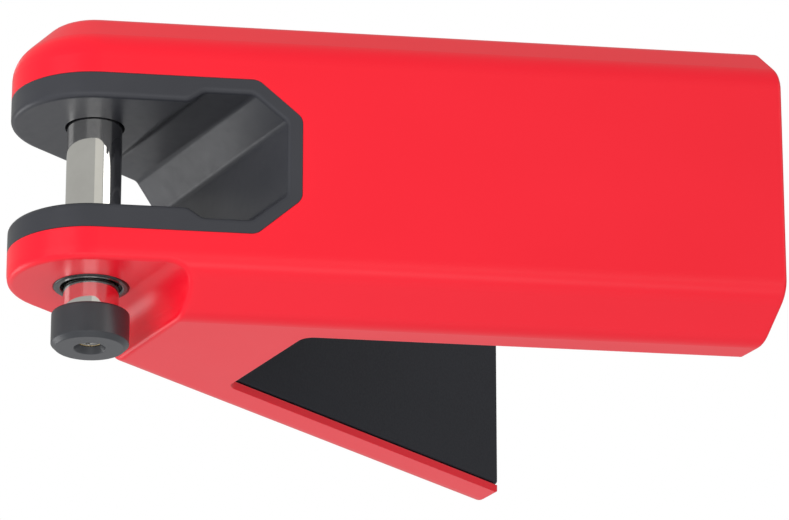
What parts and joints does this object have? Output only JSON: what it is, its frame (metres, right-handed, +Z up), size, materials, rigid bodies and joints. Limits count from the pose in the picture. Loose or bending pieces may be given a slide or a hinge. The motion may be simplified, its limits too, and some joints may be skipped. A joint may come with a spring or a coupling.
{
  "type": "steering wheel lock",
  "caption": "Wedge-shaped lock: a keyed steel pin closes the padded U slot in its rounded nose round a rim or tube; two lined arms spread behind it.",
  "frame": {"origin": "on the axis of the locking pin, at the middle of the slot's height", "axes": "+Z up along the pin, knob at -Z; +Y from the rounded nose to the plane of the arm ends; X along the slot's channel, across the plane of symmetry"},
  "size_m": [0.2374, 0.2496, 0.1219],
  "materials": {
    "red_casing": "satin red moulded shell",
    "grey_liner": "dark grey satin elastomer",
    "black_cover": "near-black matte lining",
    "black_steel": "black coated steel",
    "zinc_steel": "zinc plated steel",
    "black_bolt": "black oxide steel",
    "hardened_steel": "hardened steel",
    "brass": "machined brass",
    "black_rubber": "black rubber",
    "chrome_pin": "polished chrome plate",
    "knob_grey": "dark grey satin moulding",
    "key_face": "bright nickel"
  },
  "bodies": {
    "body": {"outer_casing": "red_casing", "jaw_liner": "grey_liner", "inner_cover": "black_cover", "steel_frame": "black_steel", "jaw_core": "black_steel", "end_block_right": "zinc_steel", "end_block_left": "zinc_steel", "core_bolts": "black_bolt", "frame_screws": "zinc_steel", "boss_inserts": "brass", "upper_socket": "hardened_steel", "lower_bush": "hardened_steel", "wiper_ring": "black_rubber", "pin_collar": "black_rubber"},
    "pin": {"lock_pin": "chrome_pin", "knob": "knob_grey", "cylinder_housing": "brass", "housing_pin": "hardened_steel"},
    "key_plug": {"key_rotor": "brass", "lock_discs": "hardened_steel", "disc_spacers": "hardened_steel", "sidebar": "hardened_steel", "entry_disc": "key_face", "rotor_clip": "hardened_steel", "drive_cam": "hardened_steel"},
    "lug": {"locking_lug": "hardened_steel"}
  },
  "joints": [
    {"name": "pin_slide", "type": "slide", "parent": "body", "child": "pin", "axis": [0, 0, 1], "range_m": [-0.057, 0.0095]},
    {"name": "key_turn", "type": "hinge", "parent": "pin", "child": "key_plug", "pos_m": [0, 0, -0.055], "axis": [0, 0, 1], "range_deg": [0, 90]},
    {"name": "lug_slide", "type": "slide", "parent": "pin", "child": "lug", "axis": [-1, 0, 0], "range_m": [0, 0.0022]}
  ],
  "couplings": [
    {"joint": "lug_slide", "follows": "key_turn", "m_per_rad": 0.0014}
  ]
}
